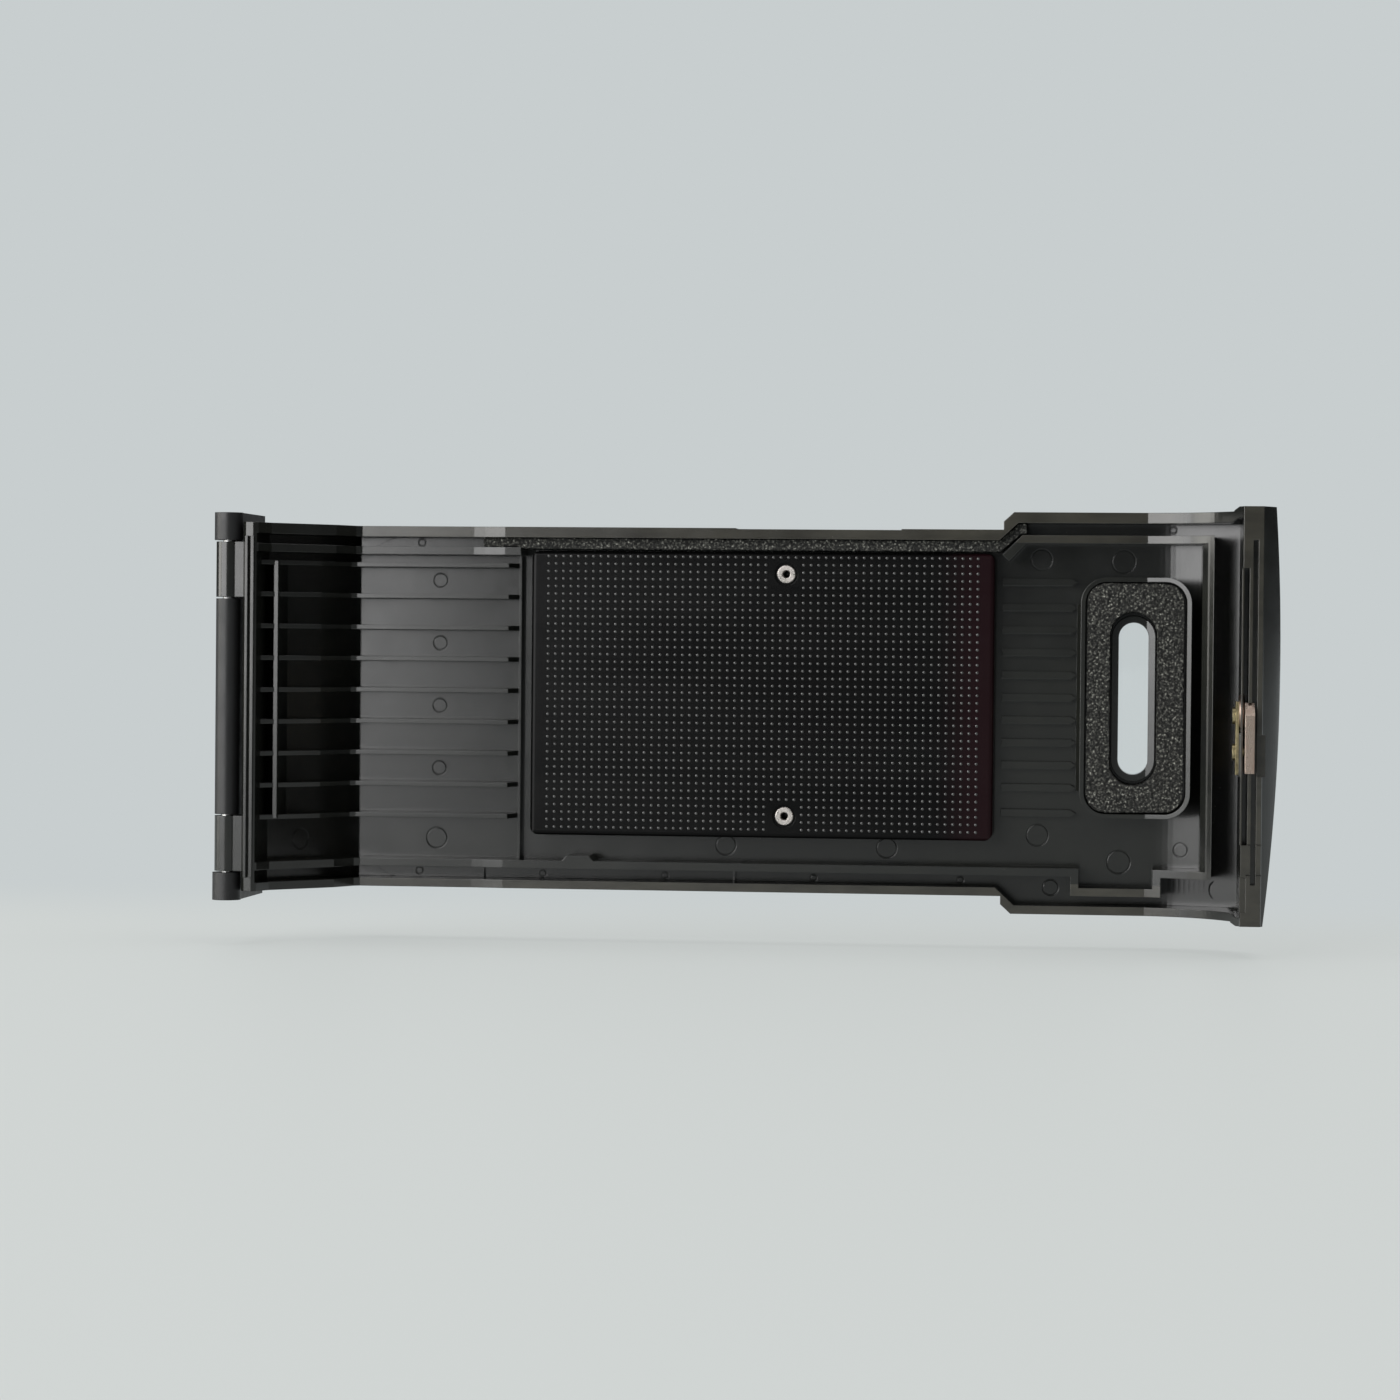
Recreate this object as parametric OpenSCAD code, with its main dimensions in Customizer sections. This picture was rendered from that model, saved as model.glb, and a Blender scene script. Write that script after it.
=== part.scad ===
/* [Door] */
// Length from the hinge axis to the middle of the free end
door_length = 136.2; // [136:0.1:168]
// Height of the door between the hinge and the step
door_height = 48; // [44:0.5:60]
// Depth from the hinge axis to the outer face
door_depth = 21; // [20:0.5:26]
// Thickness of the flat back wall
back_wall = 2.5; // [2:0.1:3]
// How far the front edge of the rims stands before the outer face
rim_depth = 8; // [7:0.1:9]
// Thickness of the upper rim
upper_rim = 1.4; // [1:0.1:1.8]
// Thickness of the lower rim
lower_rim = 1.1; // [0.9:0.1:1.6]
// Extra height of each edge near the free end
end_step = 2.3; // [1:0.1:3]
// Distance from the free end to the start of the step
step_from_end = 37; // [30:0.1:38]
// Extra height of the end wrap over the upper edge
wrap_step_up = 0.6; // [0.3:0.1:0.8]
// Extra height of the end wrap below the lower edge
wrap_step_down = 0.5; // [0.2:0.1:0.6]
// How much the rims rise where the film bay ends
rim_rise = 0.4; // [0.2:0.05:0.6]
// Radius of the rounded outer edges
edge_radius = 1.6; // [0.8:0.1:2.2]
// Radius of the bowed free end, seen from the front
end_bow_radius = 273; // [200:1:600]
// Height at which the bowed free end reaches furthest
end_bow_height = 6.75; // [0:0.25:7]

/* [Inner lips and channels] */
// Thickness of the inner lips
lip_wall = 1.05; // [0.8:0.05:1.4]
// Width of the upper channel
upper_channel = 1.3; // [1:0.1:2]
// Width of the lower channel
lower_channel = 1.6; // [1.2:0.1:2.4]
// Depth of the jog in the lower lip
jog_depth = 2.6; // [1.5:0.1:3]
// Width of the jog in the lower lip
jog_width = 11.7; // [9:0.1:14]
// Distance from the free end to the jog
jog_from_end = 15; // [13:0.1:16]

/* [Hinge] */
// Diameter of the hinge barrel
barrel_d = 3.2; // [2.8:0.1:3.4]
// Diameter of the bracket's two ears
ear_d = 3.7; // [3.2:0.1:4]
// Diameter of the hinge pin
pin_d = 1.5; // [1.2:0.1:1.8]
// Radial clearance of the door knuckles on the pin
pin_clearance = 0.03; // [0.02:0.01:0.08]
// Length of each bracket ear
ear_length = 3.6; // [3:0.1:5]
// Length of each door knuckle
door_knuckle = 7.2; // [5:0.1:9]
// Gap between knuckles
knuckle_gap = 0.2; // [0.15:0.05:0.4]
// Gap between the barrel and what stands beside it
barrel_gap = 0.35; // [0.3:0.05:0.5]
// Thickness of the bracket strip
bracket_t = 1.4; // [1:0.1:1.6]
// Depth of the bracket strip behind the barrel
bracket_depth = 12; // [9:0.5:14]
// Diameter of the bracket's screw holes
bracket_hole_d = 2.2; // [1.8:0.1:3]
// Distance between the outermost bracket holes
bracket_hole_spacing = 34; // [24:1:38]

/* [Film bay] */
// Distance from the hinge axis to the bay's ridge
bay_end = 35.85; // [34:0.05:37]
// Pitch of the bay ribs
bay_rib_pitch = 4.17; // [3.6:0.01:5]
// Thickness of the bay ribs
bay_rib_wall = 0.6; // [0.5:0.05:0.9]
// How far the ribs stay behind the rims
rib_recess = 0.6; // [0.4:0.1:1]

/* [Pressure plate] */
// Width of the pressure plate
plate_width = 61.5; // [48:0.1:62]
// Height of the pressure plate
plate_height = 37.8; // [30:0.1:38.4]
// Sheet thickness of the pressure plate
plate_sheet = 0.8; // [0.5:0.1:1]
// Depth of the plate's folded edge
plate_fold = 1.9; // [1.2:0.1:2.2]
// Corner radius of the plate
plate_corner = 1.2; // [0.8:0.1:3]
// How far the plate's face lies behind the rims
plate_recess = 1.5; // [1:0.1:2]
// Travel of the plate against its spring
plate_travel = 1.1; // [0.6:0.1:1.2]
// Distance between the two eyelets
eyelet_spacing = 32; // [24:0.5:34]
// Outer diameter of an eyelet's flange
eyelet_flange_d = 2.5; // [2:0.1:2.8]
// Diameter of an eyelet's hole
eyelet_hole_d = 0.9; // [0.6:0.05:1.1]
// Width of the leaf spring
spring_width = 7; // [5:0.5:9]
// Thickness of the leaf spring
spring_t = 0.25; // [0.2:0.05:0.3]

/* [Cassette end] */
// Pitch of the low ribs
end_rib_pitch = 2.975; // [2.6:0.005:3.5]
// Width of the low ribs
end_rib_wall = 1; // [0.6:0.1:1.2]
// Height of the low ribs
end_rib_height = 0.9; // [0.5:0.1:1.6]
// Length of the low ribs
end_rib_length = 9.9; // [7:0.1:10]
// Width of the foam pad
pad_width = 12.7; // [12:0.1:14]
// Height of the foam pad
pad_height = 30.1; // [28:0.1:34]
// Thickness of the ring that holds the foam pad
ring_wall = 0.6; // [0.5:0.1:0.9]
// Thickness of the foam pad
pad_t = 4.6; // [3.5:0.1:5]
// Width of the window
window_width = 3.9; // [3:0.1:5]
// Height of the window
window_height = 20; // [16:0.1:24]
// Distance from the free end to the window's centre line
window_from_end = 18.8; // [18.5:0.1:20]

/* [Latch] */
// Length of the steel catch
catch_length = 9; // [7:0.1:10.8]
// Thickness of the steel catch
catch_t = 1.2; // [1:0.1:1.6]
// Distance between the latch rivets
latch_rivet_spacing = 4.7; // [4:0.1:6]

/* [Hidden] */
$fn = 48;

half = door_height / 2;
wide_half = half + end_step;
floor_y = door_depth - back_wall;
rim_y = door_depth - rim_depth;
plate_y = rim_y + plate_recess;
barrel_r = barrel_d / 2;
field_z = 2;
bay_z = field_z + 0.2;

// The hinge end slants at this rise per unit of length.
slant = 1.31;
flange_x = ear_d / 2 + barrel_gap;
bay_start = 4.1;
floor_crease = 13.9;
outer_crease = 14.6;
rise_x = bay_end - 5.75;
// The free end curves forward from this crease.
curve_x = door_length - 17.1;
wrap_x = door_length - 5.05;
wrap_front = rim_y - 10;

function rim_drop(d) = 0.22 * d + 0.0039 * pow(d, 3);
function rim_curve_y(x) = rim_y - rim_drop(max(x - curve_x, 0));
inner_curve = [13.6, 10.5];
outer_curve = [door_length - curve_x - 0.9, door_depth - 8];
curve_centre = [curve_x + 0.9, 8];
function on_curve(size, turn) =
    [curve_centre.x + size.x * sin(turn), door_depth - outer_curve.y + size.y * cos(turn)];
function floor_curve_y(x) = x < curve_centre.x ? floor_y
    : door_depth - outer_curve.y
        + inner_curve.y * sqrt(1 - pow((x - curve_centre.x) / inner_curve.x, 2));
function floor_at(x) = x < floor_crease ? floor_y - (floor_crease - x) * slant : floor_curve_y(x);
function floor_tilt(x) = x < floor_crease ? -atan(slant)
    : atan((floor_at(x - 0.1) - floor_at(x + 0.1)) / 0.2);

// Front edge of the rims, from the hinge to the end wrap.
rim_bevel = [[3.7, rim_y - 15.2], [4.3, rim_y - 14.6], [5.4, rim_y - 11.9], [10.6, rim_y - 6.1],
    [12.4, rim_y - 4], [14.3, rim_y - 0.2], [15, rim_y + rim_rise], [rise_x, rim_y + rim_rise],
    [rise_x + 1.5, rim_y + rim_rise - 0.06], [rise_x + 3, rim_y + 0.5 * rim_rise],
    [rise_x + 4.2, rim_y]];
rim_curve = [for (i = [0:0.5:12]) [curve_x + i, rim_curve_y(curve_x + i)]];
rim_front = concat(rim_bevel, rim_curve, [[wrap_x, rim_curve_y(wrap_x)]]);
// Front edge of the ribs in the film bay.
rib_front = [[bay_start - 0.3, rim_y - 12.4], [5.4, rim_y - 10.7], [10.6, rim_y - 4.7],
    [12.1, rim_y - 2.5], [13.6, rim_y + rib_recess - 0.2], [14.3, rim_y + rib_recess]];
outer_back = concat(
    [[flange_x, door_depth - (outer_crease - flange_x) * slant], [outer_crease, door_depth]],
    [for (turn = [0:4.5:90]) on_curve(outer_curve, turn)]);

function reversed(points) = [for (i = [len(points) - 1:-1:0]) points[i]];

// A wall that follows a front edge and reaches down to the middle of the back wall.
module wall(front, z_low, z_high) {
    last = front[len(front) - 1].x;
    back = concat([[front[0].x, floor_at(front[0].x) + 0.8], [floor_crease + 0.4, floor_y + 1]],
        [for (i = [0:12]) if (curve_centre.x + i < last) [curve_centre.x + i,
            floor_at(curve_centre.x + i) + 1]], [[last, floor_at(last) + 1]]);
    translate([0, 0, z_low])
        linear_extrude(z_high - z_low)
            polygon(concat(front, reversed(back)));
}

// Edge of the door seen from the front, moved inward by an inset; the wrap stands out by more.
function edge_path(inset, more) = [
    [door_length - step_from_end + 0.414 * inset, half - inset],
    [door_length - step_from_end + end_step * 1.08 + 0.414 * inset, wide_half - inset],
    [door_length - 6.3, wide_half - inset], [door_length - 5.5, wide_half + more - inset],
    [door_length + 2, wide_half + more - inset]];

module front_outline(upper_inset, lower_inset, start) {
    polygon(concat([[start, -half + lower_inset], [start, half - upper_inset]],
        edge_path(upper_inset, wrap_step_up),
        reversed([for (p = edge_path(lower_inset, wrap_step_down)) [p.x, -p.y]])));
}

// Extrudes an outline drawn in X and Z through the whole depth of the door.
module through_depth(y_low, y_high) {
    translate([0, y_high, 0])
        rotate([90, 0, 0])
            linear_extrude(y_high - y_low)
                children();
}

// Outer side of the wrap: it leans back from its front edge to the free end.
wrap_side = [for (s = [0:0.125:0.875]) [door_length - 2.3 * pow(1 - s, 1.4),
    wrap_front + 0.35 + 4.65 * s]];

// The whole door as a solid block, seen from above.
module block_profile() {
    polygon(concat([[flange_x, rim_y - 14.2], [flange_x + 0.5, rim_y - 14.9]], rim_front,
        [[wrap_x + 0.1, wrap_front], [door_length - 2.4, wrap_front]], wrap_side,
        reversed(outer_back)));
}

// Cross-section of the door seen along its length, with rounded outer edges.
module section(z_low, z_high, x_low, x_high) {
    r = edge_radius;
    translate([x_low, 0, 0])
        rotate([90, 0, 90])
            linear_extrude(x_high - x_low)
                union() {
                    translate([-10, z_low])
                        square([door_depth - r + 10, z_high - z_low]);
                    translate([-10, z_low + r])
                        square([door_depth + 10, z_high - z_low - 2 * r]);
                    for (z = [z_low + r, z_high - r])
                        translate([door_depth - r, z])
                            circle(r = r);
                }
}

module end_bow_cut() {
    through_depth(-10, door_depth + 10)
        difference() {
            translate([door_length - 8, -50])
                square([20, 100]);
            translate([door_length - end_bow_radius, end_bow_height])
                circle(r = end_bow_radius, $fn = 720);
        }
}

module block() {
    step_x = door_length - step_from_end + end_step / 2;
    difference() {
        intersection() {
            translate([0, 0, -40])
                linear_extrude(80)
                    block_profile();
            through_depth(-10, door_depth + 10)
                front_outline(0, 0, 0);
            union() {
                section(-half, half, 0, step_x + 1);
                section(-wide_half, wide_half, step_x, door_length - 6);
                section(-wide_half - wrap_step_down, wide_half + wrap_step_up, door_length - 6.1,
                    door_length + 2);
            }
        }
        end_bow_cut();
        translate([bay_end + 29.2, 0, half - 0.13])
            cube([21.9, door_depth - edge_radius, 1]);
    }
}

lip_x = door_length - 10;
lip_back = lip_x + lip_wall + 0.4;
// Hollow between the rims, down to the inner face of the back wall; flatter beyond the last lip.
module hollow_profile() {
    polygon(concat(
        [[bay_start, rim_y - 20], [bay_start, floor_at(bay_start)], [floor_crease, floor_y],
            [curve_centre.x, floor_y]],
        [for (turn = [3:3:33]) on_curve(inner_curve, turn)],
        [[lip_back, floor_at(lip_back)], [wrap_x, floor_at(lip_back) - 0.8],
            [wrap_x, rim_y - 20]]));
}

module hollow() {
    intersection() {
        translate([0, 0, -40])
            linear_extrude(80)
                hollow_profile();
        through_depth(-10, door_depth + 10)
            front_outline(upper_rim, lower_rim, 0);
    }
}

upper_lip_z = half - upper_rim - upper_channel;
lower_lip_z = -half + lower_rim + lower_channel;
wide_lip_z = wide_half - upper_rim - 1.6;
step_x0 = door_length - step_from_end;
jog_x = door_length - jog_from_end - jog_width;
bay_rib_count = floor((half - 7.3) / bay_rib_pitch);
plate_x = bay_end + 1.85;
plate_z = field_z;
eyelet_x = plate_x + 34;
eyelet_apart = min(eyelet_spacing, plate_height - 5.8);
window_x = door_length - window_from_end;
pad_x = window_x - pad_width / 2 + 0.25;

// Front view of the inner lips.
module lip_outline() {
    translate([bay_start - 0.1, upper_lip_z - lip_wall])
        square([bay_end - bay_start + 0.75, lip_wall]);
    polygon([[step_x0 + 1, upper_lip_z - 0.6], [step_x0 + 3.6, wide_lip_z],
        [lip_back, wide_lip_z], [lip_back, wide_lip_z - lip_wall],
        [step_x0 + 4.1, wide_lip_z - lip_wall], [step_x0 + 1.9, upper_lip_z - 1.4]]);
    translate([lip_x, lower_lip_z])
        square([lip_back - lip_x, wide_lip_z - lower_lip_z]);
    translate([bay_start - 0.1, lower_lip_z])
        square([jog_x - bay_start + 0.1 + lip_wall, lip_wall]);
    translate([jog_x + jog_width - lip_wall, lower_lip_z])
        square([lip_x - jog_x - jog_width + 2 * lip_wall, lip_wall]);
    for (x = [jog_x, jog_x + jog_width - lip_wall])
        translate([x, lower_lip_z + lip_wall - jog_depth - 1])
            square([lip_wall, jog_depth + 1]);
    translate([jog_x, lower_lip_z + lip_wall - jog_depth - 1])
        square([jog_width, lip_wall]);
    bump = lower_lip_z + lip_wall;
    polygon([[bay_end + 6.35, bump - 0.1], [bay_end + 7.05, bump + 0.7],
        [bay_end + 10.05, bump + 0.7], [bay_end + 10.75, bump - 0.1]]);
}

module lips() {
    difference() {
        intersection() {
            wall(rim_front, -40, 40);
            through_depth(-10, floor_y + 0.6)
                lip_outline();
        }
        front = rim_curve_y(lip_x);
        translate([0, 0, lower_lip_z + lip_wall])
            linear_extrude(wide_lip_z - lower_lip_z - 2 * lip_wall)
                polygon([[lip_x - 0.1, front - 1], [lip_x + 0.65, front - 1],
                    [lip_x + 0.65, front - 0.45], [lip_x - 0.1, front + 0.5]]);
    }
}

module bay_ribs() {
    front = concat(rib_front, [[bay_end - 1.05, rim_y + rib_recess],
        [bay_end - 0.75, rim_y + rib_recess + 1.2], [bay_end, floor_y - 0.7]]);
    for (k = [-bay_rib_count:bay_rib_count]) {
        z = bay_z + k * bay_rib_pitch;
        wall(front, z - bay_rib_wall / 2, z + bay_rib_wall / 2);
    }
    reach = bay_rib_count * bay_rib_pitch + bay_rib_wall / 2 - 0.1;
    post_x = bay_start + 1.35;
    post_y = lookup(post_x, rib_front) + 0.1;
    translate([post_x, post_y, bay_z - reach])
        cube([bay_rib_wall, floor_at(post_x) + 1.1 - post_y, 2 * reach]);
    translate([bay_end - 0.2, floor_y - 1.5, lower_lip_z + lip_wall])
        cube([0.4, 2, upper_lip_z - lower_lip_z - 2 * lip_wall]);
}

module pointed_rib(z) {
    w = end_rib_wall / 2;
    translate([step_x0 + 0.95, 0, z])
        through_depth(floor_y - end_rib_height, floor_y + 0.5)
            polygon([[0, -w], [end_rib_length - 0.8, -w], [end_rib_length, 0],
                [end_rib_length - 0.8, w], [0, w]]);
}

// Keeps what lies behind a front that stands this far off the floor and bends with the rims.
module bent_front(height) {
    front_y = floor_y - height;
    intersection() {
        wall(concat([[step_x0, front_y]],
            [for (i = [0:10]) [curve_x + i, front_y - rim_drop(i)]]), -40, 40);
        children();
    }
}

module rounded_rect(x_low, z_low, width, height, r) {
    translate([x_low + r, z_low])
        square([width - 2 * r, height]);
    translate([x_low, z_low + r])
        square([width, height - 2 * r]);
    for (x = [x_low + r, x_low + width - r], z = [z_low + r, z_low + height - r])
        translate([x, z])
            circle(r = r);
}

module stadium(x, z, width, height) {
    translate([x - width / 2, z - height / 2 + width / 2])
        square([width, height - width]);
    for (side = [-1, 1])
        translate([x, z + side * (height - width) / 2])
            circle(d = width);
}

pad_z = field_z - pad_height / 2 + 0.1;
module pad_pocket_outline(grow) {
    rounded_rect(pad_x - 0.2 - grow, pad_z - 0.15 - grow, pad_width + 0.5 + 2 * grow,
        pad_height + 0.3 + 2 * grow, 2.8 + grow);
}

ring_height = 3.9;
// Ring round the foam pad, with a slanting step on the side of the low ribs.
module foam_ring() {
    bent_front(ring_height)
        through_depth(-10, floor_y + 0.8)
            pad_pocket_outline(ring_wall);
    left = pad_x - 0.2 - ring_wall;
    translate([0, 0, pad_z + 2.8])
        linear_extrude(pad_height - 5.6)
            polygon([[left + 0.1, floor_y - ring_height], [left - 0.5, floor_y - ring_height + 0.8],
                [left - 0.5, floor_y + 0.5], [left + 0.1, floor_y + 0.5]]);
}

// Round marks left by the mould: x from the hinge, z, diameter.
hinge_marks = [[24.8, 16.9, 2], [24.8, 8.5, 2], [24.8, 0.1, 2], [24.8, -8.3, 2], [24.5, -17.7, 2.9],
    [7.6, -17.7, 2.8], [39, -22.3, 1], [55.5, -22.3, 1], [75.4, -22.3, 1], [94.9, -22.3, 1],
    [63.6, -18.1, 2.8], [85.1, -18.2, 2.8]];
// The same near the free end: x back from the end, z, diameter.
end_marks = [[31, 20.2, 2.9], [20.2, 20, 3.2], [31.2, -16.2, 3], [20.5, -19.6, 3.2],
    [12.4, -17.9, 2], [29.4, -23.1, 2.2], [7.4, -23, 3], [13.7, 24.2, 1]];

module mark(x, z, d) {
    $fn = d > 2.5 ? 30 : 20;
    translate([x, floor_at(x), z])
        rotate([90, 0, 0])
            rotate([0, -floor_tilt(x), 0])
                translate([0, 0, -0.12])
                    difference() {
                        cylinder(d = d, h = 0.5);
                        translate([0, 0, -0.1])
                            cylinder(d = d - 0.3, h = 0.7);
                    }
}

// Raised floor of both channels, ending towards the hinge in a rounded tip, with a round mark.
module channel_floor(z_lip, z_rim) {
    tip = [for (t = [0:0.125:1]) [bay_start + 11.8 + 4 * t, z_lip + (z_rim - z_lip) * (2 * t - t * t)]];
    difference() {
        through_depth(floor_y - 0.5, floor_y + 0.3)
            polygon(concat(tip, [[bay_end - 4.75, z_rim], [bay_end - 4.75, z_lip]]));
        translate([bay_start + 18.2, floor_y - 1, (z_lip + z_rim) / 2])
            rotate([-90, 0, 0])
                difference() {
                    $fn = 20;
                    cylinder(d = 1.1, h = 0.65);
                    translate([0, 0, -1])
                        cylinder(d = 0.8, h = 3);
                }
    }
}

module channel_floors() {
    channel_floor(upper_lip_z - 0.1, half - upper_rim + 0.1);
    channel_floor(lower_lip_z + 0.1, -half + lower_rim - 0.1);
}

module knuckle(radius, z_low, z_high) {
    translate([0, 0, z_low])
        cylinder(r = radius, h = z_high - z_low);
}

ear_top = half + 1.25;
ear_inner = ear_top - ear_length;
middle_top = ear_inner - knuckle_gap - door_knuckle;

module door_knuckles() {
    for (side = [0, 1])
        mirror([0, 0, side])
            translate([0, 0, middle_top]) {
                cylinder(r = barrel_r, h = door_knuckle);
                translate([0, -barrel_r + 0.4, 0])
                    cube([flange_x + 0.5, barrel_r, door_knuckle]);
            }
}

module flange_lips() {
    for (x = [flange_x + 0.5, flange_x + 1.3])
        translate([x, rim_y - 15.4, -half + 1.8])
            cube([0.35, 1.4, door_height - 3.6]);
}

// Grooves between the two upright lips of the wrap, and the cuts across them.
module wrap_grooves() {
    translate([wrap_x - 0.1, wrap_front - 1, field_z - 18.4])
        cube([1, 2.4, 35.4]);
    translate([wrap_x + 0.25, wrap_front - 1, field_z - 18.4])
        cube([0.65, 6, 35.4]);
    translate([wrap_x + 1.35, wrap_front - 1, -half + 2.5])
        cube([0.65, 2.6, door_height - 3.9]);
    translate([wrap_x - 0.1, wrap_front - 1, -half - 1])
        cube([0.9, 1.5, 4.5]);
    translate([wrap_x + 1.7, wrap_front - 1, -7.6])
        cube([1.5, 1.9, 5.3]);
    for (z = [-16.4, -20.3])
        translate([wrap_x + 0.8, wrap_front - 1, z])
            cube([2, 1.25, 0.15]);
}

catch_x = wrap_x + 0.5;
catch_z = -2.7;
latch_y = wrap_front + 4.2;
latch_rivet_z = 0.1;
backing_z = latch_rivet_z + 0.3;
backing_t = 0.7;
guard_t = 0.4;
module catch_slot() {
    translate([catch_x - 0.05, wrap_front - 1, catch_z - catch_length / 2])
        cube([catch_t + 0.05, 7.5, catch_length]);
}

// Block behind the lower half of the latch guard, and the round pocket over it.
module latch_seat() {
    translate([catch_x - backing_t, latch_y - 2.4, -7.7])
        cube([backing_t, 5.2, backing_z - 2.55 + 7.7]);
}

module backing_pocket() {
    translate([wrap_x - 2, latch_y, backing_z])
        rotate([0, 90, 0])
            cylinder(d = 5, h = 2.5);
}

boss_x = eyelet_x;
spring_back = floor_y - 0.95;

module door_shell() {
    color([0.13, 0.14, 0.13])
        difference() {
            union() {
                difference() {
                    block();
                    hollow();
                }
                lips();
                bay_ribs();
                for (k = [-4:4])
                    pointed_rib(field_z + k * end_rib_pitch);
                for (side = [-1, 1])
                    pointed_rib(field_z + side * (4 * end_rib_pitch + 3.35));
                foam_ring();
                translate([boss_x - 5, spring_back, plate_z - 5])
                    cube([10, 2, 10]);
                translate([bay_end + 28.85, floor_y - 0.3, -half + lower_rim - 0.1])
                    cube([0.3, 0.8, lower_channel + 0.2]);
                channel_floors();
                door_knuckles();
                flange_lips();
                latch_seat();
            }
            through_depth(-10, floor_y)
                pad_pocket_outline(0);
            translate([outer_crease - 0.8, floor_y - 0.2, -half + lower_rim + lower_channel + lip_wall])
                cube([0.15, 0.32, upper_lip_z - lip_wall - lower_lip_z - lip_wall]);
            through_depth(-10, door_depth + 10)
                stadium(window_x, field_z, window_width, window_height);
            through_depth(door_depth - 1.2, door_depth + 10)
                stadium(window_x, field_z, window_width + 2.4, window_height + 2.4);
            cover_recess();
            wrap_grooves();
            catch_slot();
            backing_pocket();
            latch_rivet_holes();
            spring_rivet_holes();
            for (m = hinge_marks)
                mark(m[0], m[1], m[2]);
            for (m = end_marks)
                mark(door_length - m[0], m[1], m[2]);
            translate([0, 0, -half - 5])
                cylinder(d = pin_d + 2 * pin_clearance, h = door_height + 10);
        }
    color([0.13, 0.14, 0.13])
        window_collar();
}

module window_collar() {
    difference() {
        bent_front(1.6)
            through_depth(-10, floor_y + 0.2)
                stadium(window_x, field_z, window_width + 1.8, window_height + 1.8);
        through_depth(floor_y - 3, floor_y + 1)
            stadium(window_x, field_z, window_width, window_height);
    }
}

cover_x = outer_crease + 2;
cover_width = step_x0 + 12.5 - cover_x;
module cover_recess() {
    translate([cover_x, door_depth - 0.4, -half + 2])
        cube([cover_width, 2, door_height - 4]);
}

module outer_cover() {
    color([0.1, 0.1, 0.1])
        translate([cover_x + 0.1, door_depth - 0.4, -half + 2.1])
            cube([cover_width - 0.2, 0.6, door_height - 4.2]);
}

module window_pane() {
    color([0.8, 0.85, 0.85, 0.4])
        through_depth(door_depth - 1.2, door_depth - 0.1)
            stadium(window_x, field_z, window_width + 2.3, window_height + 2.3);
}

module window_foam_pad() {
    color([0.16, 0.16, 0.15])
        difference() {
            through_depth(floor_y - pad_t, floor_y)
                rounded_rect(pad_x, pad_z, pad_width, pad_height, 2.5);
            through_depth(floor_y - pad_t - 1, floor_y + 1)
                stadium(window_x, field_z, window_width + 2.1, window_height + 2.6);
        }
}

module upper_foam_strip() {
    z_low = upper_lip_z - 0.25;
    step = edge_path(upper_rim, wrap_step_up);
    color([0.12, 0.12, 0.12])
        through_depth(rim_y + 0.9, floor_y)
            polygon([[bay_end - 4.65, upper_lip_z], [bay_end + 0.75, upper_lip_z],
                [bay_end + 0.75, z_low], [step_x0 + 0.7, z_low], [step_x0 + 3.4, wide_lip_z + 0.1],
                [step_x0 + 4.2, wide_lip_z + 0.1], [step_x0 + 4.2, wide_half - upper_rim],
                step[1], step[0], [bay_end - 4.65, half - upper_rim]]);
}

strip_x = barrel_r - bracket_t;
strip_y = ear_d / 2 + barrel_gap;
web_x = strip_x + 0.2;
web_t = bracket_t - 0.2;
module bracket_holes() {
    for (z = [-1, 1] * bracket_hole_spacing / 2)
        translate([-5, strip_y + bracket_depth / 2 + 1, z])
            rotate([0, 90, 0])
                cylinder(d = bracket_hole_d, h = 10);
}

// Strip and knuckles on the camera body's side of the hinge.
module hinge_bracket() {
    color([0.1, 0.1, 0.1])
        difference() {
            union() {
                knuckle(barrel_r, -middle_top + knuckle_gap, middle_top - knuckle_gap);
                translate([web_x, 0, -middle_top + knuckle_gap])
                    cube([web_t, barrel_r + 1, 2 * (middle_top - knuckle_gap)]);
                for (side = [0, 1])
                    mirror([0, 0, side]) {
                        knuckle(ear_d / 2, ear_inner, ear_top);
                        translate([web_x, 0, ear_inner])
                            cube([web_t, ear_d / 2 + 1, ear_length]);
                    }
                translate([strip_x, strip_y, -ear_top])
                    cube([bracket_t, bracket_depth, 2 * ear_top]);
            }
            translate([0, 0, -ear_top - 1])
                cylinder(d = pin_d, h = 2 * ear_top + 2);
            bracket_holes();
        }
}

module hinge_pin() {
    color([0.6, 0.6, 0.6])
        translate([0, 0, -ear_top + 0.3])
            cylinder(d = pin_d, h = 2 * ear_top - 0.6);
}

// Rounds the two long front edges of the plate.
module plate_section(size) {
    r = 0.6;
    translate([plate_fold - r, 0])
        square([0.01, size], center = true);
    translate([r, -size / 2])
        square([plate_fold - r, size]);
    translate([0, -size / 2 + r])
        square([plate_fold, size - 2 * r]);
    for (side = [-1, 1])
        translate([r, side * (size / 2 - r)])
            circle(r = r);
}

module plate_blank() {
    intersection() {
        through_depth(plate_y - 1, plate_y + 5)
            rounded_rect(plate_x, plate_z - plate_height / 2, plate_width, plate_height,
                plate_corner);
        translate([plate_x - 1, plate_y, plate_z])
            rotate([90, 0, 90])
                linear_extrude(plate_width + 2)
                    plate_section(plate_height);
        translate([plate_x + plate_width / 2, plate_y, plate_z - plate_height])
            rotate([0, 0, 90])
                mirror([0, 1, 0])
                    linear_extrude(2 * plate_height)
                        plate_section(plate_width);
    }
}

module at_eyelet(side) {
    translate([eyelet_x, plate_y, plate_z + side * eyelet_apart / 2])
        rotate([-90, 0, 0])
            children();
}

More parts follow.
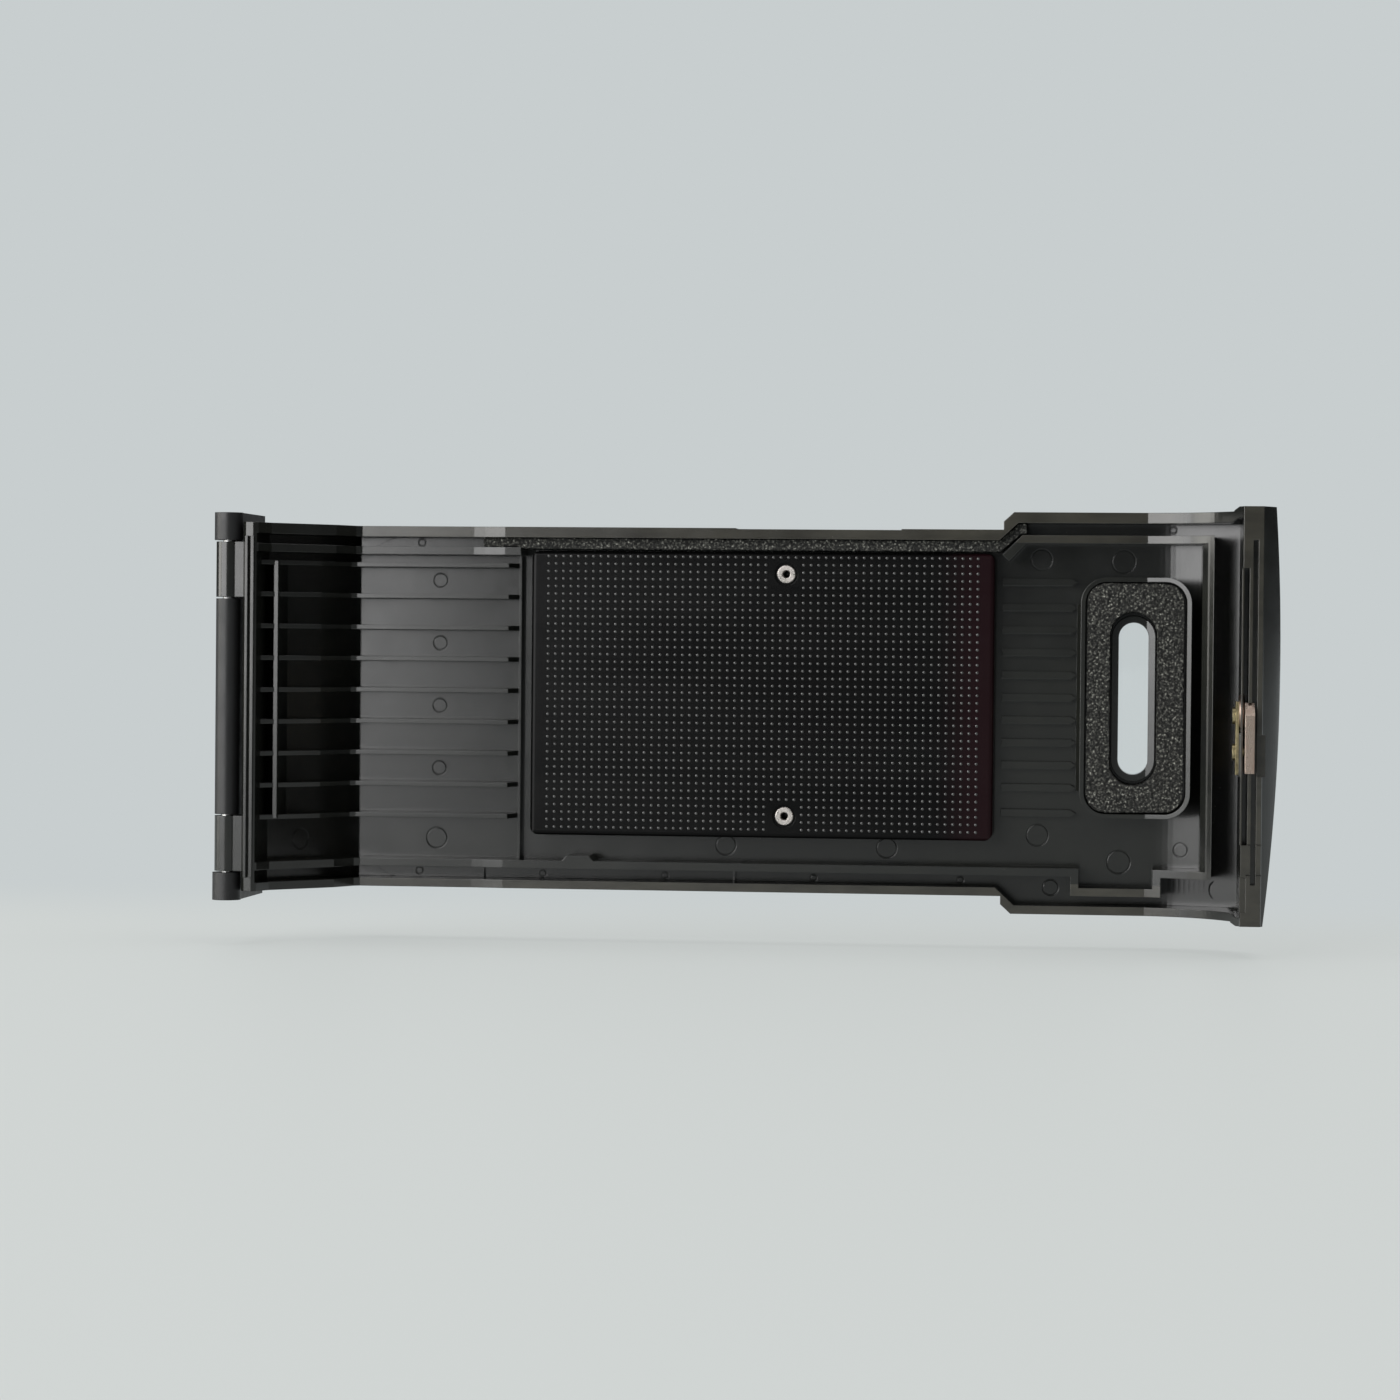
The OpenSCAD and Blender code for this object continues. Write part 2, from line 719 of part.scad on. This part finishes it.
barrel_hole_d = eyelet_hole_d + 0.7;
module pressure_plate() {
    color([0.05, 0.05, 0.05])
        difference() {
            plate_blank();
            through_depth(plate_y + plate_sheet, plate_y + 5)
                rounded_rect(plate_x + plate_sheet, plate_z - plate_height / 2 + plate_sheet,
                    plate_width - 2 * plate_sheet, plate_height - 2 * plate_sheet, plate_corner);
            for (side = [-1, 1])
                at_eyelet(side) {
                    translate([0, 0, -1])
                        cylinder(d = eyelet_flange_d + 0.6, h = 1.3);
                    cylinder(d = barrel_hole_d, h = 5);
                }
        }
}

module eyelet(side) {
    r_hole = eyelet_hole_d / 2;
    r_flange = eyelet_flange_d / 2;
    tail = plate_sheet + 0.75;
    color([0.75, 0.74, 0.7])
        at_eyelet(side)
            rotate_extrude()
                polygon([[r_hole, 0.15], [r_hole + 0.12, 0], [r_flange - 0.12, 0],
                    [r_flange, 0.12], [r_flange, 0.3], [barrel_hole_d / 2, 0.3],
                    [barrel_hole_d / 2, tail], [r_flange - 0.1, tail], [r_flange - 0.1, tail + 0.2],
                    [r_hole, tail + 0.2]]);
}

module plate_eyelet_upper() {
    eyelet(1);
}

module plate_eyelet_lower() {
    eyelet(-1);
}

spring_front = plate_y + plate_sheet + 0.1;
module plate_spring() {
    reach = eyelet_apart / 2;
    arm = [[reach + 1.9, spring_front], [reach - 1.9, spring_front], [5, spring_back - spring_t],
        [-5, spring_back - spring_t], [-reach + 1.9, spring_front], [-reach - 1.9, spring_front]];
    color([0.6, 0.6, 0.58])
        difference() {
            translate([eyelet_x - spring_width / 2, 0, plate_z])
                rotate([0, 90, 0])
                    linear_extrude(spring_width)
                        polygon(concat(arm, reversed([for (p = arm) [p.x, p.y + spring_t]])));
            for (side = [-1, 1])
                at_eyelet(side)
                    cylinder(d = barrel_hole_d + 0.4, h = 6);
            spring_rivet_holes();
        }
}

spring_rivet_d = 1.4;
module at_spring_rivet(side) {
    translate([boss_x, spring_back - spring_t, plate_z + side * 2.6])
        rotate([-90, 0, 0])
            children();
}

module spring_rivet_holes() {
    for (side = [-1, 1])
        at_spring_rivet(side)
            cylinder(d = spring_rivet_d, h = 2.4);
}

module spring_rivet(side) {
    color([0.7, 0.7, 0.7])
        at_spring_rivet(side) {
            translate([0, 0, -0.45])
                cylinder(d = spring_rivet_d + 1, h = 0.45);
            translate([0, 0, -0.2])
                cylinder(d = spring_rivet_d, h = 2.5);
        }
}

module spring_rivet_upper() {
    spring_rivet(1);
}

module spring_rivet_lower() {
    spring_rivet(-1);
}

module at_latch_rivet(index) {
    translate([catch_x, latch_y, latch_rivet_z - index * latch_rivet_spacing])
        rotate([0, 90, 0])
            children();
}

module latch_rivet_holes() {
    for (index = [0, 1])
        at_latch_rivet(index)
            translate([0, 0, -2])
                cylinder(d = 1.4, h = 4.2);
}

// Steel catch: an upright tongue with a sloping upper corner.
module latch_catch() {
    z_low = catch_z - catch_length / 2;
    color([0.72, 0.66, 0.6])
        difference() {
            translate([catch_x, 0, 0])
                rotate([90, 0, 90])
                    linear_extrude(catch_t)
                        polygon([[wrap_front - 1.6, z_low], [latch_y + 2, z_low],
                            [latch_y + 2, z_low + catch_length],
                            [wrap_front + 0.4, z_low + catch_length],
                            [wrap_front - 1.6, z_low + catch_length - 1.6]]);
            latch_rivet_holes();
        }
}

module latch_backing() {
    color([0.7, 0.6, 0.52])
        difference() {
            translate([catch_x - backing_t, latch_y, backing_z])
                rotate([0, 90, 0])
                    rotate_extrude()
                        polygon([[0, 0], [2.2, 0], [2.45, 0.25], [2.45, 0.5], [2.25, backing_t],
                            [0, backing_t]]);
            latch_rivet_holes();
        }
}

module latch_guard() {
    color([0.72, 0.62, 0.3])
        difference() {
            translate([catch_x - backing_t - guard_t, latch_y - 1.5, -7.5])
                cube([guard_t, 4.2, 9.4]);
            latch_rivet_holes();
        }
}

module latch_rivet(index) {
    stack = backing_t + guard_t;
    color([0.75, 0.65, 0.35])
        at_latch_rivet(index) {
            translate([0, 0, -stack - 0.4])
                cylinder(d = 2.2, h = 0.4);
            translate([0, 0, -stack - 0.1])
                cylinder(d = 1.4, h = stack + 2.3);
        }
}

module latch_rivet_upper() {
    latch_rivet(0);
}

module latch_rivet_lower() {
    latch_rivet(1);
}

hinge_bracket();
hinge_pin();
door_shell();
outer_cover();
window_pane();
window_foam_pad();
upper_foam_strip();
pressure_plate();
plate_eyelet_upper();
plate_eyelet_lower();
plate_spring();
spring_rivet_upper();
spring_rivet_lower();
latch_catch();
latch_backing();
latch_guard();
latch_rivet_upper();
latch_rivet_lower();
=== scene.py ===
"""Looks of the hinged film door: materials, foam, dimples, light and camera."""
import math

import bmesh
import bpy
from mathutils import Matrix, Vector, noise


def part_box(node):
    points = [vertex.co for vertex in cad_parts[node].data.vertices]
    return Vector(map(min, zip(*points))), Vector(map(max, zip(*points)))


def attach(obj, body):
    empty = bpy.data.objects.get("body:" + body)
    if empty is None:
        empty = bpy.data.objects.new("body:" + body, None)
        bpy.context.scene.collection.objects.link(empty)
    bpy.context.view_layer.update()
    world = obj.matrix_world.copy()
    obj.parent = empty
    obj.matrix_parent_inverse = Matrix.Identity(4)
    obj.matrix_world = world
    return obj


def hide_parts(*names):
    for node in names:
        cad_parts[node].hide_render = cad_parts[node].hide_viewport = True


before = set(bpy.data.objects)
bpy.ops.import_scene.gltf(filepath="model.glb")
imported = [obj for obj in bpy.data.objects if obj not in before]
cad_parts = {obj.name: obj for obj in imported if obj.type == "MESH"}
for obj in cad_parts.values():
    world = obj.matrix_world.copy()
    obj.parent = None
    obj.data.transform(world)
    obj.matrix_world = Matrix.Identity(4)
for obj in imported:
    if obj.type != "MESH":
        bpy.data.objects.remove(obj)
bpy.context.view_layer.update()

MM = 0.001
scene = bpy.context.scene
scene.view_settings.view_transform = "Standard"


# ---------------------------------------------------------------- tools

def put(name, data):
    """A new object in the scene."""
    obj = bpy.data.objects.new(name, data)
    scene.collection.objects.link(obj)
    return obj


def mesh_from(bm, name):
    mesh = bpy.data.meshes.new(name)
    bm.to_mesh(mesh)
    bm.free()
    return mesh


class Shader:
    """A material with a Principled shader and short ways to add nodes to it."""

    def __init__(self, name, color, roughness, metallic=0.0, specular=0.5, coat=0.0,
                 coat_roughness=0.1):
        self.material = bpy.data.materials.new(name)
        self.material.use_nodes = True
        self.tree = self.material.node_tree
        self.surface = self.tree.nodes["Principled BSDF"]
        self.set("Base Color", (*color, 1))
        self.set("Roughness", roughness)
        self.set("Metallic", metallic)
        self.set("Specular IOR Level", specular)
        self.set("Coat Weight", coat)
        self.set("Coat Roughness", coat_roughness)
        self.place = self.add("ShaderNodeTexCoord").outputs["Object"]
        self.normal = None

    def set(self, socket, value):
        self.surface.inputs[socket].default_value = value

    def add(self, kind, **settings):
        node = self.tree.nodes.new(kind)
        for key, value in settings.items():
            setattr(node, key, value)
        return node

    def link(self, output, target):
        self.tree.links.new(output, target)

    def noise(self, scale, detail=2.0, roughness=0.5, stretch=(1, 1, 1)):
        """Noise whose grain is about 1/scale metres."""
        mapping = self.add("ShaderNodeMapping")
        mapping.inputs["Scale"].default_value = stretch
        self.link(self.place, mapping.inputs["Vector"])
        texture = self.add("ShaderNodeTexNoise")
        texture.inputs["Scale"].default_value = scale
        texture.inputs["Detail"].default_value = detail
        texture.inputs["Roughness"].default_value = roughness
        self.link(mapping.outputs["Vector"], texture.inputs["Vector"])
        return texture.outputs["Fac"]

    def cells(self, scale, feature="F1"):
        """Distance to the middle of cells about 1/scale metres wide."""
        texture = self.add("ShaderNodeTexVoronoi", feature=feature)
        texture.inputs["Scale"].default_value = scale
        self.link(self.place, texture.inputs["Vector"])
        return texture.outputs["Distance"]

    def ramp(self, value, stops):
        """Greys or colours by value: stops is a list of (position, colour)."""
        node = self.add("ShaderNodeValToRGB")
        elements = node.color_ramp.elements
        while len(elements) < len(stops):
            elements.new(0.5)
        for element, (position, color) in zip(elements, stops):
            element.position = position
            grey = isinstance(color, (int, float))
            element.color = (color, color, color, 1) if grey else (*color, 1)
        self.link(value, node.inputs["Fac"])
        return node.outputs["Color"]

    def math(self, operation, first, second):
        node = self.add("ShaderNodeMath", operation=operation)
        for socket, value in zip(node.inputs, (first, second)):
            if isinstance(value, (int, float)):
                socket.default_value = value
            else:
                self.link(value, socket)
        return node.outputs[0]

    def axis(self, name):
        """The place along one axis of the object itself."""
        node = self.add("ShaderNodeSeparateXYZ")
        self.link(self.place, node.inputs[0])
        return node.outputs[name]

    def facing(self, name):
        """How far the surface faces along one axis of the object itself, from -1 to 1."""
        node = self.add("ShaderNodeSeparateXYZ")
        self.link(self.add("ShaderNodeTexCoord").outputs["Normal"], node.inputs[0])
        return node.outputs[name]

    def band(self, value, low, high):
        """0 below low, 1 above high, in between a smooth rise; low may be above high."""
        node = self.add("ShaderNodeMapRange", interpolation_type="SMOOTHSTEP")
        node.inputs["From Min"].default_value = low
        node.inputs["From Max"].default_value = high
        self.link(value, node.inputs["Value"])
        return node.outputs["Result"]

    def mix(self, factor, first, second):
        node = self.add("ShaderNodeMix", data_type="RGBA")
        sockets = [node.inputs["Factor"], node.inputs[6], node.inputs[7]]
        for socket, value in zip(sockets, (factor, first, second)):
            if isinstance(value, (int, float)):
                socket.default_value = value
            elif isinstance(value, tuple):
                socket.default_value = (*value, 1)
            else:
                self.link(value, socket)
        return node.outputs[2]

    def round_edges(self, radius):
        """Makes sharp edges catch the light as if they had this radius."""
        node = self.add("ShaderNodeBevel", samples=6)
        node.inputs["Radius"].default_value = radius
        self.normal = node.outputs["Normal"]

    def bump(self, height, distance, strength=1.0):
        node = self.add("ShaderNodeBump")
        node.inputs["Distance"].default_value = distance
        node.inputs["Strength"].default_value = strength
        self.link(height, node.inputs["Height"])
        if self.normal is not None:
            self.link(self.normal, node.inputs["Normal"])
        self.normal = node.outputs["Normal"]

    def done(self):
        if self.normal is not None:
            self.link(self.normal, self.surface.inputs["Normal"])
        return self.material


def dress(material, *nodes):
    for name in nodes:
        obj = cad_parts[name]
        obj.data.materials.clear()
        obj.data.materials.append(material)


# ---------------------------------------------------------------- materials

def moulded_plastic():
    """Satin black moulding: olive charcoal, fine grain, specks of dust, rim fronts painted
    paler as painted light, with a rubbed grain.
    """
    s = Shader("moulded_black", (0.03, 0.03, 0.028), 0.4, specular=0.5)
    s.round_edges(0.12 * MM)
    cloudy = s.noise(90, 4, 0.6)
    tint = s.ramp(cloudy, [(0.3, (0.0065, 0.007, 0.0065)), (0.7, (0.010, 0.0105, 0.0085))])
    # Front faces of the raised rims and the wrap get a paler olive: painted light where these
    # faces catch the lamps, with a rubbed grain.
    inner_faces = s.band(s.facing("Y"), -0.86, -0.97)
    raised = s.band(s.axis("Y"), 13.52 * MM, 13.45 * MM)
    past_slant = s.band(s.axis("X"), 12 * MM, 14 * MM)
    on_rim = s.band(s.math("ABSOLUTE", s.axis("Z"), 0.0), 22.2 * MM, 22.4 * MM)
    on_wrap = s.band(s.axis("X"), 130 * MM, 131 * MM)
    wear_and_sheen = s.math("MULTIPLY", s.math("MULTIPLY", raised, past_slant),
                  s.math("MAXIMUM", on_rim, on_wrap))
    rubbed_and_sheen = s.ramp(s.noise(330, 4, 0.6, stretch=(0.3, 1, 1)),
                    [(0.3, (0.018, 0.017, 0.014)), (0.7, (0.036, 0.034, 0.027))])
    tint = s.mix(s.math("MULTIPLY", inner_faces, wear_and_sheen), tint, rubbed_and_sheen)
    dust = s.ramp(s.cells(620), [(0.0, 1.0), (0.045, 0.0)])
    sparse = s.ramp(s.noise(210, 2), [(0.56, 0.0), (0.66, 1.0)])
    specks = s.math("MULTIPLY", dust, sparse)
    s.link(s.mix(specks, tint, (0.12, 0.115, 0.10)), s.surface.inputs["Base Color"])
    s.link(s.ramp(s.noise(260, 3), [(0.3, 0.15), (0.7, 0.20)]), s.surface.inputs["Roughness"])
    s.bump(s.noise(5200, 2), 0.003 * MM, 0.6)
    s.bump(s.noise(700, 2), 0.012 * MM, 0.25)
    return s.done()


def bracket_paint():
    """Satin black paint, rubbed thin in places."""
    s = Shader("bracket_black", (0.006, 0.006, 0.0063), 0.38, specular=0.35)
    s.round_edges(0.15 * MM)
    s.link(s.ramp(s.noise(300, 4), [(0.3, 0.32), (0.7, 0.5)]), s.surface.inputs["Roughness"])
    rubbed_and_sheen = s.ramp(s.noise(420, 5, 0.7),
                    [(0.66, (0.01, 0.01, 0.0105)), (0.8, (0.035, 0.032, 0.03))])
    s.link(rubbed_and_sheen, s.surface.inputs["Base Color"])
    s.bump(s.noise(2600, 3), 0.01 * MM, 0.7)
    return s.done()


def plate_paint():
    """Smooth near-black paint with faint rub marks and a painted reddish reflection at the
    window side.
    """
    s = Shader("plate_black", (0.002, 0.002, 0.002), 0.25, specular=0.1)
    s.round_edges(0.1 * MM)
    rubs = s.noise(160, 5, 0.65, stretch=(0.15, 1, 1.2))
    black = s.ramp(rubs, [(0.35, (0.0015, 0.0015, 0.0016)), (0.75, (0.003, 0.003, 0.003))])
    # Painted reddish reflection on the window side of the plate.
    red_reflection_mask = s.band(s.axis("X"), 91 * MM, 98 * MM)
    s.link(s.mix(red_reflection_mask, black, (0.0085, 0.0028, 0.0038)), s.surface.inputs["Base Color"])
    s.link(s.ramp(rubs, [(0.3, 0.19), (0.75, 0.27)]), s.surface.inputs["Roughness"])
    s.bump(s.noise(1800, 3), 0.004 * MM, 0.5)
    return s.done()


def dimple_paint():
    """The plate's paint on the domes: a paler grey as a painted highlight, and glossier as if
    polished a little.
    """
    # Base colour paler than the plate's: painted highlight on the domes.
    s = Shader("dimple_black", (0.026, 0.026, 0.025), 0.3, specular=0.6, coat=0.15)
    s.link(s.ramp(s.noise(1500, 2), [(0.3, 0.25), (0.7, 0.35)]), s.surface.inputs["Roughness"])
    return s.done()


def metal(name, color, dark, roughness, grain=(1, 1, 1)):
    """Worn metal with darker patches; grain draws them out into streaks."""
    s = Shader(name, color, roughness, metallic=1.0)
    s.round_edges(0.08 * MM)
    wear_and_sheen = s.noise(900, 4, 0.6, stretch=grain)
    s.link(s.ramp(wear_and_sheen, [(0.35, dark), (0.65, color)]), s.surface.inputs["Base Color"])
    s.link(s.ramp(wear_and_sheen, [(0.3, roughness * 1.5), (0.7, roughness * 0.8)]),
           s.surface.inputs["Roughness"])
    s.bump(wear_and_sheen, 0.006 * MM, 0.5)
    return s.done()


def grained_cover():
    """Embossed synthetic leather: rounded pebbles between fine creases."""
    s = Shader("grained_cover", (0.02, 0.02, 0.02), 0.5)
    s.round_edges(0.15 * MM)
    pebbles = s.cells(1150, "SMOOTH_F1")
    # Pebble tops painted lighter and the creases between them darker: painted shade in the
    # creases.
    s.link(s.ramp(pebbles, [(0.1, (0.014, 0.014, 0.0145)), (0.7, (0.006, 0.006, 0.006))]),
           s.surface.inputs["Base Color"])
    s.link(s.ramp(pebbles, [(0.1, 0.42), (0.7, 0.68)]), s.surface.inputs["Roughness"])
    s.bump(s.math("SUBTRACT", 1.0, pebbles), 0.12 * MM, 0.8)
    s.bump(s.noise(3500, 3), 0.01 * MM, 0.5)
    return s.done()


def clear_pane():
    """Clear plastic, slightly clouded."""
    s = Shader("clear_pane", (0.95, 0.97, 0.97), 0.03)
    s.set("IOR", 1.49)
    s.set("Transmission Weight", 1.0)
    s.link(s.ramp(s.noise(240, 4), [(0.4, 0.02), (0.7, 0.06)]), s.surface.inputs["Roughness"])
    return s.done()


def foam():
    """Open-cell foam: pores painted near-black as painted shade, between pale grey flecks that
    are partly dust and partly painted highlight on the cell rims.
    """
    s = Shader("foam", (0.02, 0.02, 0.02), 0.85, specular=0.3)
    pores = s.cells(2600)
    fleck = s.noise(3300, 3, 0.6)
    # Pale grey flecks: partly dust, partly painted highlight where the cell rims catch the
    # light.
    dust_and_highlight_flecks = s.ramp(fleck, [(0.42, (0.008, 0.008, 0.0072)), (0.58, (0.085, 0.085, 0.075)),
                         (0.7, (0.34, 0.34, 0.30))])
    # Near-black in the pits: painted shade in the pores.
    painted_pore_shade = s.ramp(pores, [(0.25, 1.0), (0.6, 0.15)])
    s.link(s.mix(painted_pore_shade, (0.004, 0.004, 0.004), dust_and_highlight_flecks), s.surface.inputs["Base Color"])
    s.bump(pores, 0.12 * MM, 0.9)
    return s.done()


PLASTIC = moulded_plastic()
PLATE = plate_paint()
NICKEL = metal("nickel", (0.50, 0.47, 0.44), (0.42, 0.39, 0.37), 0.25)
STEEL = metal("spring_steel", (0.55, 0.55, 0.54), (0.35, 0.35, 0.35), 0.3, (1, 1, 0.1))
CATCH = metal("catch_steel", (0.50, 0.41, 0.35), (0.30, 0.22, 0.18), 0.26, (1, 1, 0.2))
BRASS = metal("brass", (0.40, 0.34, 0.20), (0.10, 0.085, 0.05), 0.3)
FOAM = foam()

dress(PLASTIC, "door_shell")
dress(bracket_paint(), "hinge_bracket")
dress(PLATE, "pressure_plate")
dress(NICKEL, "plate_eyelet_upper", "plate_eyelet_lower")
dress(STEEL, "plate_spring", "spring_rivet_upper", "spring_rivet_lower", "hinge_pin")
dress(CATCH, "latch_catch", "latch_backing")
dress(BRASS, "latch_guard", "latch_rivet_upper", "latch_rivet_lower")
dress(grained_cover(), "outer_cover")
dress(clear_pane(), "window_pane")


# ---------------------------------------------------------------- pieces

def new_piece(name, mesh, material, body):
    obj = put(name, mesh)
    mesh.materials.append(material)
    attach(obj, body)
    return obj


def dimple_grid(material):
    """Small domes pressed forward from the plate, left out round the two eyelets."""
    low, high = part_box("pressure_plate")
    pitch = 1.0 * MM
    columns, rows = 58, 37
    off_x, off_z = 0.05 * MM, 0.2 * MM
    centre_x = (low[0] + high[0]) / 2 + off_x
    centre_z = (low[2] + high[2]) / 2 + off_z
    eyelets = []
    for name in ("plate_eyelet_upper", "plate_eyelet_lower"):
        a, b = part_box(name)
        eyelets.append(((a[0] + b[0]) / 2, (a[2] + b[2]) / 2))
    clear_x, clear_z = 1.9 * MM, 2.1 * MM
    radius, rise, sides = 0.2 * MM, 0.075 * MM, 8
    sunk = -0.004 * MM
    profile = ((1.0, sunk), (0.6, 0.66 * rise))
    bm = bmesh.new()
    for i in range(columns):
        for j in range(rows):
            x = centre_x + (i - (columns - 1) / 2) * pitch
            z = centre_z + (j - (rows - 1) / 2) * pitch
            if any(abs(x - ex) < clear_x and abs(z - ez) < clear_z for ex, ez in eyelets):
                continue
            rings = []
            for share, height in profile:
                rings.append([bm.verts.new((x + share * radius * math.cos(a),
                                            low[1] - height,
                                            z + share * radius * math.sin(a)))
                              for a in (2 * math.pi * k / sides for k in range(sides))])
            top = bm.verts.new((x, low[1] - rise, z))
            for k in range(sides):
                n = (k + 1) % sides
                bm.faces.new((rings[0][k], rings[0][n], rings[1][n], rings[1][k]))
                bm.faces.new((rings[1][k], rings[1][n], top))
    bmesh.ops.recalc_face_normals(bm, faces=bm.faces)
    mesh = mesh_from(bm, "plate_dimples")
    mesh.polygons.foreach_set("use_smooth", [True] * len(mesh.polygons))
    return new_piece("plate_dimples", mesh, material, "pressure_plate")


dimple_grid(dimple_paint())


def crumbly(node, name, cell, depth):
    """A foam piece with the CAD solid's shape: fine mesh, pushed in and out by noise."""
    coarse, fine, apart = 2.6, 5.5, Vector((7, 3, 1))
    inward = 0.75
    back_skin = 0.3 * MM
    obj = put(name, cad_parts[node].data.copy())
    remesh = obj.modifiers.new("remesh", "REMESH")
    remesh.mode = "VOXEL"
    remesh.voxel_size = cell
    bpy.context.view_layer.update()
    graph = bpy.context.evaluated_depsgraph_get()
    shaped = bpy.data.meshes.new_from_object(obj.evaluated_get(graph))
    obj.modifiers.clear()
    obj.data = shaped
    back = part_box(node)[1][1]
    normals = [v.normal.copy() for v in shaped.vertices]
    for vertex, normal in zip(shaped.vertices, normals):
        here = vertex.co / MM
        pores = noise.noise(here * coarse) + 0.6 * noise.noise(here * fine + apart)
        push = (pores - inward) * depth
        if vertex.co.y > back - back_skin:
            push = 0.0
        vertex.co += normal * push
    shaped.polygons.foreach_set("use_smooth", [True] * len(shaped.polygons))
    shaped.materials.clear()
    shaped.materials.append(FOAM)
    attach(obj, "door")
    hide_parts(node)
    return obj


window_foam = crumbly("window_foam_pad", "foam_window_pad", 0.16 * MM, 0.16 * MM)
strip_foam = crumbly("upper_foam_strip", "foam_upper_strip", 0.16 * MM, 0.14 * MM)


# ---------------------------------------------------------------- camera

camera_data = bpy.data.cameras.new("camera")
camera = put("camera", camera_data)
camera_data.sensor_width = 36.0
camera_data.lens = 101.5
camera_data.clip_start = 0.01
camera_data.clip_end = 20.0
right = Vector((0.99388, 0.11009, 0.00917))
forward = Vector((-0.10995, 0.99383, -0.01472))
place = Vector((117.87, -505.13, 8.95)) * MM
turn = Matrix((right, right.cross(forward), -forward)).transposed()
camera.matrix_world = Matrix.Translation(place) @ turn.to_4x4()
scene.camera = camera


# ---------------------------------------------------------------- stage and light

PALE = (0.578, 0.617, 0.624)
FLOOR_LEVEL = -31.0 * MM
FLOOR_REACH = 6.0


def stage_floor():
    """Pale table that passes softly into the plain background on every side."""
    s = Shader("floor", (0.14, 0.146, 0.144), 0.45, specular=0.15)
    s.set("Emission Color", (0.57, 0.60, 0.59, 1))
    s.set("Emission Strength", 0.76)
    glow = s.add("ShaderNodeEmission")
    glow.inputs["Color"].default_value = (*PALE, 1)
    blend = s.add("ShaderNodeMixShader")
    sides = s.band(s.math("ABSOLUTE", s.axis("X"), 0.0), 0.7, 1.4)
    ends = s.math("MAXIMUM", s.band(s.axis("Y"), 0.02, 0.13), s.band(s.axis("Y"), -0.5, -1.0))
    s.link(s.math("MAXIMUM", sides, ends), blend.inputs[0])
    s.link(s.surface.outputs[0], blend.inputs[1])
    s.link(glow.outputs[0], blend.inputs[2])
    s.link(blend.outputs[0], s.tree.nodes["Material Output"].inputs["Surface"])
    bm = bmesh.new()
    corners = ((-1, -1), (1, -1), (1, 1), (-1, 1))
    bm.faces.new([bm.verts.new((x * FLOOR_REACH, y * FLOOR_REACH, FLOOR_LEVEL))
                  for x, y in corners])
    mesh = mesh_from(bm, "floor")
    mesh.materials.append(s.done())
    obj = put("floor", mesh)


def world_light():
    """Pale where the camera sees it; as a light it is bright overhead and dim low down."""
    world = bpy.data.worlds.new("studio")
    scene.world = world
    world.use_nodes = True
    tree = world.node_tree
    background = tree.nodes["Background"]
    path = tree.nodes.new("ShaderNodeLightPath")
    seen = tree.nodes.new("ShaderNodeMath")
    seen.operation = "MAXIMUM"
    tree.links.new(path.outputs["Is Camera Ray"], seen.inputs[0])
    tree.links.new(path.outputs["Is Transmission Ray"], seen.inputs[1])
    place = tree.nodes.new("ShaderNodeTexCoord")
    split = tree.nodes.new("ShaderNodeSeparateXYZ")
    tree.links.new(place.outputs["Generated"], split.inputs[0])
    height = tree.nodes.new("ShaderNodeValToRGB")
    tree.links.new(split.outputs["Z"], height.inputs["Fac"])
    stops = height.color_ramp.elements
    stops[0].position, stops[0].color = 0.05, (0.03, 0.031, 0.031, 1)
    stops[1].position, stops[1].color = 0.9, (0.60, 0.61, 0.61, 1)
    pick = tree.nodes.new("ShaderNodeMix")
    pick.data_type = "RGBA"
    tree.links.new(seen.outputs[0], pick.inputs["Factor"])
    tree.links.new(height.outputs["Color"], pick.inputs[6])
    pick.inputs[7].default_value = (*PALE, 1)
    tree.links.new(pick.outputs[2], background.inputs["Color"])


def area_light(name, place, target, size, power, color=(1, 1, 1)):
    """A rectangular lamp that lights the scene and that the camera doesn't see."""
    data = bpy.data.lights.new(name, "AREA")
    data.shape = "RECTANGLE"
    data.size, data.size_y = size
    data.energy = power
    data.color = color
    obj = put(name, data)
    obj.location = place
    obj.visible_camera = False
    obj.rotation_euler = (Vector(target) - Vector(place)).to_track_quat("-Z", "Y").to_euler()


stage_floor()
world_light()
area_light("softbox_left", (-0.572, -0.86, 0.12), (0.02, 0, 0), (0.94, 1.1), 21)
area_light("side_left", (-1.25, -0.3, 0.3), (0.1, 0, 0), (0.8, 0.8), 12, (1.0, 0.99, 0.93))
area_light("overhead", (0.1, 0.2, 1.1), (0.07, 0.08, 0), (1.4, 0.9), 8)
